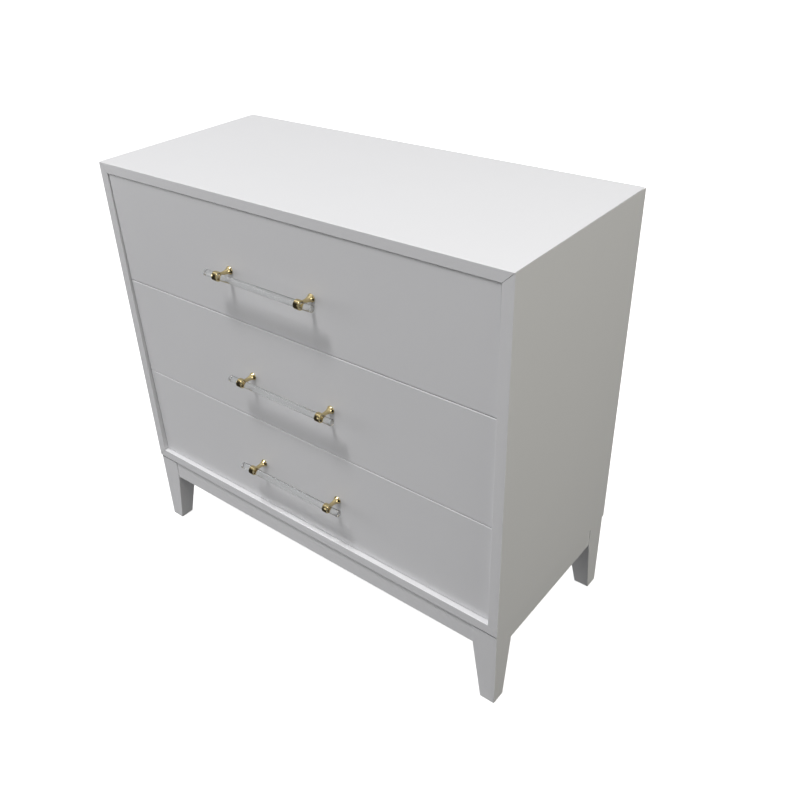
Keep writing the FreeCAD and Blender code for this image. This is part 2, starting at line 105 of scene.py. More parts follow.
@dataclass
class Surface:
    """A new material's tree, with its coordinates and its shader in place.

    Attributes:
        tree: The material's node tree.
        material: The material itself.
        place: Where a point lies on the chest, in metres.
        facing: Which way the surface faces there.
        shader: The one shader that the finish sets.
    """

    tree: bpy.types.NodeTree
    material: bpy.types.Material
    place: bpy.types.NodeSocket
    facing: bpy.types.NodeSocket
    shader: bpy.types.Node

    @classmethod
    def named(cls, name: str) -> "Surface":
        """Start an empty material.

        Args:
            name: Name of the real finish.

        Returns:
            The tree, ready for the finish's own nodes.
        """
        material = bpy.data.materials.new(name)
        material.use_nodes = True
        tree = material.node_tree
        tree.nodes.clear()
        coordinates = add_node(tree, "ShaderNodeTexCoord")
        shader = add_node(tree, "ShaderNodeBsdfPrincipled")
        add_node(tree, "ShaderNodeOutputMaterial", {"Surface": shader.outputs["BSDF"]})
        return cls(tree, material, coordinates.outputs["Object"], coordinates.outputs["Normal"], shader)

    def join(self, socket: str, source: bpy.types.NodeSocket) -> None:
        """Feed one of the shader's inputs from a node."""
        self.tree.links.new(source, self.shader.inputs[socket])


class Grain(Enum):
    """Way that the fibres of a board run."""

    ACROSS = (1.0, 0.0, 0.0)
    DEEP = (0.0, 1.0, 0.0)


@dataclass(frozen=True)
class SprayedCoat:
    """Opaque white coat on board: lacquer on the show faces, thin paint on the back."""

    name: str
    colour: str
    shade: str
    roughness: float
    peel: float
    peel_depth: float
    cloud: float = 260 * MM
    gloss_swing: tuple[float, float] = (-0.03, 0.03)
    ior: float = 1.5

    def material(self) -> bpy.types.Material:
        """Mix the coat.

        Returns:
            The finished material.
        """
        # Sprayed white: an even skin, faint orange peel close up, and clouds of tone that are hardly seen
        surface = Surface.named(self.name)
        tree = surface.tree
        cloud = add_node(tree, "ShaderNodeTexNoise", {
            "Vector": surface.place, "Scale": 1 / self.cloud, "Detail": 2.0})
        tone = add_node(tree, "ShaderNodeMix", {
            0: cloud.outputs["Fac"], 6: linear(self.colour), 7: linear(self.shade)}, data_type="RGBA")
        peel = add_node(tree, "ShaderNodeTexNoise", {
            "Vector": surface.place, "Scale": 1 / self.peel, "Detail": 2.0, "Roughness": 0.4})
        skin = add_node(tree, "ShaderNodeBump", {
            "Height": peel.outputs["Fac"], "Distance": self.peel_depth, "Strength": 0.6})
        gloss = add_node(tree, "ShaderNodeMapRange", {
            "Value": cloud.outputs["Fac"], "To Min": self.roughness + self.gloss_swing[0],
            "To Max": self.roughness + self.gloss_swing[1]})
        surface.join("Base Color", tone.outputs[2])
        surface.join("Roughness", gloss.outputs["Result"])
        surface.join("Normal", skin.outputs["Normal"])
        surface.shader.inputs["IOR"].default_value = self.ior
        return surface.material


@dataclass(frozen=True)
class PlanedBoard:
    """Planed wood, clear coated or bare, with its fibres along one way of the chest."""

    name: str
    grain: Grain
    light: str
    dark: str
    end: str
    roughness: float
    figure_width: float = 30 * MM
    figure_length: float = 520 * MM
    fibre_width: float = 1.1 * MM
    fibre_length: float = 46 * MM
    ring_width: float = 5 * MM
    pore_depth: float = 0.05 * MM
    fibre_share: float = 0.45
    contrast: tuple[float, float] = (0.42, 1.02)
    end_cosine: float = 0.7
    gloss_swing: tuple[float, float] = (-0.08, 0.10)

    def stretch(self, width: float, length: float) -> tuple[float, ...]:
        """Scale that draws a pattern out along the fibres."""
        return tuple(1 / length if along else 1 / width for along in self.grain.value)

    def material(self) -> bpy.types.Material:
        """Mix the wood.

        Returns:
            The finished material.
        """
        # Planed wood: a slow wavy figure, fine darker fibres along it, and dull rings where a board is cut
        # across
        surface = Surface.named(self.name)
        tree = surface.tree
        broad = add_node(tree, "ShaderNodeMapping", {
            "Vector": surface.place, "Scale": self.stretch(self.figure_width, self.figure_length)})
        figure = add_node(tree, "ShaderNodeTexNoise", {
            "Vector": broad.outputs["Vector"], "Scale": 1.0, "Detail": 3.0, "Distortion": 0.7})
        fine = add_node(tree, "ShaderNodeMapping", {
            "Vector": surface.place, "Scale": self.stretch(self.fibre_width, self.fibre_length)})
        fibre = add_node(tree, "ShaderNodeTexNoise", {
            "Vector": fine.outputs["Vector"], "Scale": 1.0, "Detail": 2.0, "Roughness": 0.6})
        mixed = add_node(tree, "ShaderNodeMath", {
            0: fibre.outputs["Fac"], 1: self.fibre_share, 2: figure.outputs["Fac"]}, operation="MULTIPLY_ADD")
        share = add_node(tree, "ShaderNodeMapRange", {
            "Value": mixed.outputs["Value"], "From Min": self.contrast[0], "From Max": self.contrast[1]})
        along = add_node(tree, "ShaderNodeMix", {
            0: share.outputs["Result"], 6: linear(self.light), 7: linear(self.dark)}, data_type="RGBA")
        ring = add_node(tree, "ShaderNodeTexWave", {
            "Vector": surface.place, "Scale": WAVE_WIDTH / self.ring_width, "Distortion": 3.0, "Detail": 2.0},
            wave_type="RINGS", rings_direction="SPHERICAL")
        across = add_node(tree, "ShaderNodeMix", {
            0: ring.outputs["Fac"], 6: linear(self.dark), 7: linear(self.end)}, data_type="RGBA")
        end_on = add_node(tree, "ShaderNodeVectorMath", {
            0: surface.facing, 1: self.grain.value}, operation="DOT_PRODUCT")
        steep = add_node(tree, "ShaderNodeMath", {0: end_on.outputs["Value"]}, operation="ABSOLUTE")
        is_end = add_node(tree, "ShaderNodeMath", {
            0: steep.outputs["Value"], 1: self.end_cosine}, operation="GREATER_THAN")
        wood = add_node(tree, "ShaderNodeMix", {
            0: is_end.outputs["Value"], 6: along.outputs[2], 7: across.outputs[2]}, data_type="RGBA")
        pores = add_node(tree, "ShaderNodeBump", {
            "Height": fibre.outputs["Fac"], "Distance": self.pore_depth, "Strength": 0.5})
        gloss = add_node(tree, "ShaderNodeMapRange", {
            "Value": fibre.outputs["Fac"], "To Min": self.roughness + self.gloss_swing[0],
            "To Max": self.roughness + self.gloss_swing[1]})
        surface.join("Base Color", wood.outputs[2])
        surface.join("Roughness", gloss.outputs["Result"])
        surface.join("Normal", pores.outputs["Normal"])
        return surface.material


@dataclass(frozen=True)
class PlatedSteel:
    """Steel under bright zinc: rolled sheet for the runners, headed wire for the screws."""

    name: str
    light: str
    dark: str
    roughness: float
    spangle: float
    line_width: float = 0.35 * MM
    line_length: float = 60 * MM
    line_depth: float = 0.01 * MM
    gloss_swing: tuple[float, float] = (-0.08, 0.12)

    def material(self) -> bpy.types.Material:
        """Mix the plating.

        Returns:
            The finished material.
        """
        # Zinc plate: cool grey crystals of slightly different tone, with rolling lines along the runner
        surface = Surface.named(self.name)
        tree = surface.tree
        crystal = add_node(tree, "ShaderNodeTexVoronoi", {"Vector": surface.place, "Scale": 1 / self.spangle})
        grey = add_node(tree, "ShaderNodeRGBToBW", {"Color": crystal.outputs["Color"]})
        tone = add_node(tree, "ShaderNodeMix", {
            0: grey.outputs["Val"], 6: linear(self.light), 7: linear(self.dark)}, data_type="RGBA")
        drawn = add_node(tree, "ShaderNodeMapping", {
            "Vector": surface.place,
            "Scale": (1 / self.line_width, 1 / self.line_length, 1 / self.line_width)})
        lines = add_node(tree, "ShaderNodeTexNoise", {
            "Vector": drawn.outputs["Vector"], "Scale": 1.0, "Detail": 2.0})
        gloss = add_node(tree, "ShaderNodeMapRange", {
            "Value": lines.outputs["Fac"], "To Min": self.roughness + self.gloss_swing[0],
            "To Max": self.roughness + self.gloss_swing[1]})
        bump = add_node(tree, "ShaderNodeBump", {
            "Height": lines.outputs["Fac"], "Distance": self.line_depth, "Strength": 0.4})
        surface.join("Base Color", tone.outputs[2])
        surface.join("Roughness", gloss.outputs["Result"])
        surface.join("Normal", bump.outputs["Normal"])
        surface.shader.inputs["Metallic"].default_value = 1.0
        return surface.material


@dataclass(frozen=True)
class PolishedBrass:
    """Brass turned on a lathe and buffed bright."""

    name: str = "polished_brass"
    colour: str = "#DCCCA0"
    deep: str = "#CCB784"
    roughness: float = 0.05
    cloud: float = 6 * MM
    tool_mark: float = 0.4 * MM
    mark_depth: float = 0.004 * MM
    gloss_swing: tuple[float, float] = (-0.02, 0.03)

    def material(self) -> bpy.types.Material:
        """Mix the metal.

        Returns:
            The finished material.
        """
        # Buffed brass: pale gold in the light, brown where it mirrors the dark, with soft marks of the tool
        surface = Surface.named(self.name)
        tree = surface.tree
        cloud = add_node(tree, "ShaderNodeTexNoise", {
            "Vector": surface.place, "Scale": 1 / self.cloud, "Detail": 3.0})
        tone = add_node(tree, "ShaderNodeMix", {
            0: cloud.outputs["Fac"], 6: linear(self.colour), 7: linear(self.deep)}, data_type="RGBA")
        gloss = add_node(tree, "ShaderNodeMapRange", {
            "Value": cloud.outputs["Fac"], "To Min": self.roughness + self.gloss_swing[0],
            "To Max": self.roughness + self.gloss_swing[1]})
        marks = add_node(tree, "ShaderNodeTexNoise", {
            "Vector": surface.place, "Scale": 1 / self.tool_mark, "Detail": 1.0})
        bump = add_node(tree, "ShaderNodeBump", {
            "Height": marks.outputs["Fac"], "Distance": self.mark_depth, "Strength": 0.3})
        surface.join("Base Color", tone.outputs[2])
        surface.join("Roughness", gloss.outputs["Result"])
        surface.join("Normal", bump.outputs["Normal"])
        surface.shader.inputs["Metallic"].default_value = 1.0
        return surface.material


@dataclass(frozen=True)
class CastAcrylic:
    """Clear cast acrylic rod with polished ends."""

    name: str = "clear_cast_acrylic"
    colour: str = "#FFFFFF"
    deep: str = "#FAFDFD"
    roughness: float = 0.02
    ripple: float = 18 * MM
    ripple_depth: float = 0.02 * MM
    gloss_swing: tuple[float, float] = (-0.01, 0.02)
    end_cosines: tuple[float, float] = (0.5, 0.95)
    end_clearness: float = 0.72
    body: float = 0.86
    ior: float = 1.30

    def material(self) -> bpy.types.Material:
        """Mix the plastic.

        Returns:
            The finished material.
        """
        # Clear acrylic: hardly any tint, a thin dark line along the top edge, and a slow casting ripple. The
        # ends are a little milky. The real rods hardly bend what lies behind them, so the IOR is under the
        # usual 1.49, and part of the light goes straight through
        surface = Surface.named(self.name)
        tree = surface.tree
        ripple = add_node(tree, "ShaderNodeTexNoise", {
            "Vector": surface.place, "Scale": 1 / self.ripple, "Detail": 1.0})
        tint = add_node(tree, "ShaderNodeMix", {
            0: ripple.outputs["Fac"], 6: linear(self.colour), 7: linear(self.deep)}, data_type="RGBA")
        gloss = add_node(tree, "ShaderNodeMapRange", {
            "Value": ripple.outputs["Fac"], "To Min": self.roughness + self.gloss_swing[0],
            "To Max": self.roughness + self.gloss_swing[1]})
        bump = add_node(tree, "ShaderNodeBump", {
            "Height": ripple.outputs["Fac"], "Distance": self.ripple_depth, "Strength": 0.1})
        end_on = add_node(tree, "ShaderNodeVectorMath", {
            0: surface.facing, 1: Grain.ACROSS.value}, operation="DOT_PRODUCT")
        steep = add_node(tree, "ShaderNodeMath", {0: end_on.outputs["Value"]}, operation="ABSOLUTE")
        clear = add_node(tree, "ShaderNodeMapRange", {
            "Value": steep.outputs["Value"], "From Min": self.end_cosines[0],
            "From Max": self.end_cosines[1], "To Min": 1.0, "To Max": self.end_clearness})
        surface.join("Base Color", tint.outputs[2])
        surface.join("Roughness", gloss.outputs["Result"])
        surface.join("Normal", bump.outputs["Normal"])
        surface.join("Transmission Weight", clear.outputs["Result"])
        surface.shader.inputs["IOR"].default_value = self.ior
        surface.shader.inputs["Alpha"].default_value = self.body
        return surface.material


@dataclass(frozen=True)
class MouldedNylon:
    """White nylon, moulded, for the glides under the feet."""

    name: str = "moulded_white_nylon"
    colour: str = "#E4E3DE"
    rubbed: str = "#CFCDC6"
    roughness: float = 0.48
    grit: float = 0.8 * MM
    scuff: float = 7 * MM
    grit_depth: float = 0.03 * MM

    def material(self) -> bpy.types.Material:
        """Mix the plastic.

        Returns:
            The finished material.
        """
        # Moulded nylon: slightly waxy white with a fine eroded grit and greyer scuffs where it rubs the floor
        surface = Surface.named(self.name)
        tree = surface.tree
        scuff = add_node(tree, "ShaderNodeTexNoise", {
            "Vector": surface.place, "Scale": 1 / self.scuff, "Detail": 4.0})
        tone = add_node(tree, "ShaderNodeMix", {
            0: scuff.outputs["Fac"], 6: linear(self.colour), 7: linear(self.rubbed)}, data_type="RGBA")
        grit = add_node(tree, "ShaderNodeTexNoise", {"Vector": surface.place, "Scale": 1 / self.grit})
        bump = add_node(tree, "ShaderNodeBump", {
            "Height": grit.outputs["Fac"], "Distance": self.grit_depth, "Strength": 0.4})
        surface.join("Base Color", tone.outputs[2])
        surface.join("Normal", bump.outputs["Normal"])
        surface.shader.inputs["Roughness"].default_value = self.roughness
        return surface.material


@dataclass(frozen=True)
class StudioPaper:
    """Pale seamless paper under the chest, lit from behind as well so that shadows on it stay faint."""

    name: str = "pale_studio_paper"
    colour: str = "#C9C9C8"
    fleck: str = "#C4C4C3"
    glow: float = 0.88
    fibre: float = 3 * MM

    def material(self) -> bpy.types.Material:
        """Mix the paper.

        Returns:
            The finished material.
        """
        # Seamless paper: matt and almost white, with a soft fibre that shows only close up
        surface = Surface.named(self.name)
        tree = surface.tree
        fibre = add_node(tree, "ShaderNodeTexNoise", {"Vector": surface.place, "Scale": 1 / self.fibre})
        tone = add_node(tree, "ShaderNodeMix", {
            0: fibre.outputs["Fac"], 6: linear(self.colour), 7: linear(self.fleck)}, data_type="RGBA")
        surface.join("Base Color", tone.outputs[2])
        surface.shader.inputs["Roughness"].default_value = 1.0
        surface.shader.inputs["Specular IOR Level"].default_value = 0.0
        surface.shader.inputs["Emission Color"].default_value = linear("#FFFFFF")
        surface.shader.inputs["Emission Strength"].default_value = self.glow
        return surface.material


WHITE_LACQUER = SprayedCoat(
    "satin_white_lacquer", "#EAEAEC", "#E6E6E8", roughness=0.36, peel=2.4 * MM, peel_depth=0.012 * MM)
WHITE_HARDBOARD = SprayedCoat(
    "white_painted_hardboard", "#DEDDD8", "#D2D1CB", roughness=0.62, peel=1.3 * MM, peel_depth=0.06 * MM,
    cloud=90 * MM)
BIRCH_DEEP = PlanedBoard(
    "clear_coated_birch_deep", Grain.DEEP, "#E2CBA4", "#CDAE7E", "#B9976A", roughness=0.40)
BIRCH_ACROSS = PlanedBoard(
    "clear_coated_birch_across", Grain.ACROSS, "#E2CBA4", "#CDAE7E", "#B9976A", roughness=0.40)
BIRCH_PLYWOOD = PlanedBoard(
    "clear_coated_birch_plywood", Grain.ACROSS, "#E8D5B3", "#D6BC91", "#A98A60", roughness=0.42,
    figure_width=64 * MM, figure_length=700 * MM, ring_width=1.5 * MM)
BARE_POPLAR = PlanedBoard("bare_poplar", Grain.ACROSS, "#DCCCA8", "#C2B083", "#A8946A", roughness=0.62)
ZINC_SHEET = PlatedSteel("zinc_plated_steel_sheet", "#C9CCD1", "#AEB3BA", roughness=0.34, spangle=5 * MM)
ZINC_SCREW = PlatedSteel("zinc_plated_screw_steel", "#C4C5C8", "#A7A9AD", roughness=0.30, spangle=1.2 * MM)
BRASS = PolishedBrass()
ACRYLIC = CastAcrylic()
NYLON = MouldedNylon()
PAPER = StudioPaper()


def keep(piece: bpy.types.Object, body: str) -> None:
    """Let a new piece ride on a body and report it.

    Args:
        piece: The finished object.
        body: Body of the chest that carries it.
    """
    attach(piece, body)
    log.info("%s: %d faces, rides on %s", piece.name, len(piece.data.polygons), body)


def dress(nodes: Sequence[str], material: bpy.types.Material) -> None:
    """Give pieces that come from the solids their finish.

    Args:
        nodes: Names of the pieces.
        material: The finish that they all take.
    """
    for name in nodes:
        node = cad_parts[name]
        if not node.material_slots:
            node.data.materials.append(material)
        for slot in node.material_slots:
            slot.material = material
        log.info("%s: %s", name, material.name)


def new_object(name: str, mesh: bpy.types.Mesh) -> bpy.types.Object:
    """Put a mesh into the scene, with its object at the origin."""
    piece = bpy.data.objects.new(name, mesh)
    bpy.context.scene.collection.objects.link(piece)
    return piece


def plain_mesh(piece: bpy.types.Object) -> bpy.types.Mesh:
    """Mesh that an object's modifiers give, with the object itself taken away."""
    graph = bpy.context.evaluated_depsgraph_get()
    mesh = bpy.data.meshes.new_from_object(piece.evaluated_get(graph), depsgraph=graph)
    bpy.data.objects.remove(piece)
    return mesh


def arc(middle: tuple[float, float], radius: float, start: float, end: float, steps: int = 6) -> Outline:
    """Points round part of a circle in an outline.

    Args:
        middle: The circle's middle, as distance from the axis and place along it.
        radius: The circle's radius.
        start: First angle in degrees, from straight away from the axis.
        end: Last angle in degrees.
        steps: How many chords the arc has.

    Returns:
        The points, both ends among them.
    """
    angles = [math.radians(start + (end - start) * step / steps) for step in range(steps + 1)]
    return [(middle[0] + radius * math.cos(angle), middle[1] + radius * math.sin(angle)) for angle in angles]


def turned(name: str, outline: Outline, axis: Vector, sides: int, ring: bool = False) -> bpy.types.Mesh:
    """Turn an outline round an axis through the origin, as on a lathe.

    Args:
        name: Name of the mesh.
        outline: Pairs of distance from the axis and place along it.
        axis: Direction of the axis.
        sides: How many sides the turned form has.
        ring: Whether the outline's last point joins its first, as on a tube.

    Returns:
        A closed smooth mesh with crisp edges.
    """
    upright = axis.to_track_quat("Z", "Y").to_matrix().to_4x4()
    shape = bmesh.new()
    rings = []
    for radius, along in outline:
        count = sides if radius > 0 else 1
        angles = [2 * math.pi * side / sides for side in range(count)]
        points = [Vector((radius * math.cos(angle), radius * math.sin(angle), along)) for angle in angles]
        rings.append([shape.verts.new(upright @ point) for point in points])
    for low, high in zip(rings, rings[1:] + (rings[:1] if ring else [])):
        for side in range(sides):
            after = (side + 1) % sides
            corners = [low[side % len(low)], low[after % len(low)],
                       high[after % len(high)], high[side % len(high)]]
            shape.faces.new(dict.fromkeys(corners))
    bmesh.ops.recalc_face_normals(shape, faces=shape.faces)
    for face in shape.faces:
        face.smooth = True
    mesh = bpy.data.meshes.new(name)
    shape.to_mesh(mesh)
    shape.free()
    mesh.set_sharp_from_angle(angle=CREASE)
    return mesh


class Cut(Enum):
    """How one mesh works on another."""

    JOIN = "UNION"
    TAKE_AWAY = "DIFFERENCE"


def combined(base: bpy.types.Mesh, tool: bpy.types.Mesh, cut: Cut) -> bpy.types.Mesh:
    """Join a mesh to another, or cut it out of the other.

    Args:
        base: The mesh that is worked on.
        tool: The mesh that is joined or cut out.
        cut: Which of the two.

    Returns:
        One closed mesh.
    """
    work = new_object(base.name, base)
    helper = new_object(tool.name, tool)
    modifier = work.modifiers.new("work", "BOOLEAN")
    modifier.operation = cut.value
    modifier.solver = "EXACT"
    modifier.object = helper
    mesh = plain_mesh(work)
    bpy.data.objects.remove(helper)
    mesh.set_sharp_from_angle(angle=CREASE)
    return mesh


@dataclass(frozen=True)
class Repeat:
    """A node tree that repeats something on a set of points, and its inputs by name."""

    tree: bpy.types.GeometryNodeTree

    def spread(
            self, name: str, points: Sequence[Vector], turns: Sequence[float],
            inputs: Mapping) -> bpy.types.Object:
        """Run the tree on some points and keep what it makes as a plain mesh.

        Args:
            name: Name of the finished object.
            points: Where the repeats go.
            turns: Angle of each repeat about the upright, in radians.
            inputs: Values of the tree's own inputs, by their names.

        Returns:
            One object at the origin, without modifiers.
        """
        mesh = bpy.data.meshes.new(f"{name}_points")
        mesh.from_pydata([tuple(point) for point in points], [], [])
        mesh.attributes.new("turn", "FLOAT", "POINT").data.foreach_set("value", list(turns))
        holder = bpy.data.objects.new(f"{name}_points", mesh)
        modifier = holder.modifiers.new("repeat", "NODES")
        modifier.node_group = self.tree
        for item in self.tree.interface.items_tree:
            if item.in_out == "INPUT" and item.name in inputs:
                modifier[item.identifier] = inputs[item.name]
        bpy.context.scene.collection.objects.link(holder)
        return new_object(name, plain_mesh(holder))

    @staticmethod
    def new_tree(name: str, inputs: Mapping[str, str]) -> bpy.types.GeometryNodeTree:
        """Start a tree that takes points and gives a mesh.

        Args:
            name: Name of the tree.
            inputs: Kind of each further input, by its name.

        Returns:
            The tree, still without nodes.
        """
        tree = bpy.data.node_groups.new(name, "GeometryNodeTree")
        tree.interface.new_socket("Points", in_out="INPUT", socket_type="NodeSocketGeometry")
        for socket, kind in inputs.items():
            tree.interface.new_socket(socket, in_out="INPUT", socket_type=f"NodeSocket{kind}")
        tree.interface.new_socket("Mesh", in_out="OUTPUT", socket_type="NodeSocketGeometry")
        return tree

    @classmethod
    def of_pieces(cls) -> "Repeat":
        """Tree that sets a copy of one piece on every point.

        Returns:
            The tree, with the inputs Piece and Finish.
        """
        tree = cls.new_tree("pieces_on_points", {"Piece": "Object", "Finish": "Material"})
        given = add_node(tree, "NodeGroupInput").outputs
        piece = add_node(tree, "GeometryNodeObjectInfo", {"Object": given["Piece"]})
        turn = add_node(tree, "GeometryNodeInputNamedAttribute", {"Name": "turn"}, data_type="FLOAT")
        way = add_node(tree, "ShaderNodeCombineXYZ", {"Z": turn.outputs["Attribute"]})
        copies = add_node(tree, "GeometryNodeInstanceOnPoints", {
            "Points": given["Points"], "Instance": piece.outputs["Geometry"],
            "Rotation": way.outputs["Vector"]})
        whole = add_node(tree, "GeometryNodeRealizeInstances", {"Geometry": copies.outputs["Instances"]})
        finished = add_node(tree, "GeometryNodeSetMaterial", {
            "Geometry": whole.outputs["Geometry"], "Material": given["Finish"]})
        add_node(tree, "NodeGroupOutput", {"Mesh": finished.outputs["Geometry"]})
        return cls(tree)

    @classmethod
    def of_ball_rows(cls) -> "Repeat":
        """Tree that sets a row of bearing balls in their flat cage on every point.

        Returns:
            The tree, with the inputs Balls, Pitch, Ball Radius, Cage and Finish.
        """
        tree = cls.new_tree("ball_rows", {
            "Balls": "Int", "Pitch": "Float", "Ball Radius": "Float", "Cage": "Vector", "Finish": "Material"})
        given = add_node(tree, "NodeGroupInput").outputs
        step = add_node(tree, "ShaderNodeCombineXYZ", {"Y": given["Pitch"]})
        gaps = add_node(tree, "ShaderNodeMath", {0: given["Balls"], 1: 1.0}, operation="SUBTRACT")
        half = add_node(tree, "ShaderNodeMath", {0: gaps.outputs["Value"], 1: -0.5}, operation="MULTIPLY")
        start = add_node(tree, "ShaderNodeVectorMath", {
            0: step.outputs["Vector"], "Scale": half.outputs["Value"]}, operation="SCALE")
        line = add_node(tree, "GeometryNodeMeshLine", {
            "Count": given["Balls"], "Start Location": start.outputs["Vector"],
            "Offset": step.outputs["Vector"]})
        ball = add_node(tree, "GeometryNodeMeshUVSphere", {
            "Segments": 8, "Rings": 5, "Radius": given["Ball Radius"]})
        smooth = add_node(tree, "GeometryNodeSetShadeSmooth", {"Geometry": ball.outputs["Mesh"]})
        balls = add_node(tree, "GeometryNodeInstanceOnPoints", {
            "Points": line.outputs["Mesh"], "Instance": smooth.outputs["Geometry"]})
        cage = add_node(tree, "GeometryNodeMeshCube", {"Size": given["Cage"]})
        row = add_node(tree, "GeometryNodeJoinGeometry", {"Geometry": balls.outputs["Instances"]})
        tree.links.new(cage.outputs["Mesh"], row.inputs["Geometry"])
        rows = add_node(tree, "GeometryNodeInstanceOnPoints", {
            "Points": given["Points"], "Instance": row.outputs["Geometry"]})
        whole = add_node(tree, "GeometryNodeRealizeInstances", {"Geometry": rows.outputs["Instances"]})
        finished = add_node(tree, "GeometryNodeSetMaterial", {
            "Geometry": whole.outputs["Geometry"], "Material": given["Finish"]})
        add_node(tree, "NodeGroupOutput", {"Mesh": finished.outputs["Geometry"]})
        return cls(tree)


@dataclass
class Case:
    """Mitred lacquered case with its back panel and the rails behind the gaps between the drawer fronts."""

    panels: tuple[str, ...] = ("top_panel", "bottom_panel", "left_side_panel", "right_side_panel")
    rails: tuple[str, ...] = ("lower_divider_rail", "upper_divider_rail")

    def dress(
            self, lacquer: bpy.types.Material, poplar: bpy.types.Material,
            zinc: bpy.types.Material) -> None:
        """Finish the case.

        Args:
            lacquer: Finish of the show panels.
            poplar: Finish of the rails.
            zinc: Finish of the screws.
        """
        dress(self.panels, lacquer)
        dress(self.rails, poplar)
        dress(["back_panel"], WHITE_HARDBOARD.material())
        dress(["back_panel_screws"], zinc)


@dataclass
class Base:
    """Four tapered legs between aprons, with corner blocks and glides."""

    legs: tuple[str, ...] = ("front_left_leg", "front_right_leg", "back_left_leg", "back_right_leg")
    aprons: tuple[str, ...] = ("front_apron", "back_apron", "left_apron", "right_apron")

    def dress(
            self, lacquer: bpy.types.Material, poplar: bpy.types.Material,
            zinc: bpy.types.Material) -> None:
        """Finish the base.

        Args:
            lacquer: Finish of the legs and aprons.
            poplar: Finish of the corner blocks.
            zinc: Finish of the screws.
        """
        dress(self.legs + self.aprons, lacquer)
        dress(["corner_blocks"], poplar)
        dress(["corner_block_screws"], zinc)
        dress(["foot_glides"], NYLON.material())


@dataclass
class Boxes:
    """The three drawers' fronts and dovetailed boxes."""

    names: tuple[str, ...] = DRAWERS

    def dress(self, lacquer: bpy.types.Material, zinc: bpy.types.Material) -> None:
        """Finish the drawers.

        Args:
            lacquer: Finish of the drawer fronts.
            zinc: Finish of the screws.
        """
        dress([f"{name}_drawer_front" for name in self.names], lacquer)
        sides = [f"{name}_box_{side}_side" for name in self.names for side in ("left", "right")]
        dress(sides, BIRCH_DEEP.material())
        ends = [f"{name}_box_{end}" for name in self.names for end in ("front", "back")]
        dress(ends, BIRCH_ACROSS.material())
        dress([f"{name}_box_tray" for name in self.names], BIRCH_PLYWOOD.material())
        dress([f"{name}_{kind}_screws" for name in self.names for kind in ("front", "pull")], zinc)


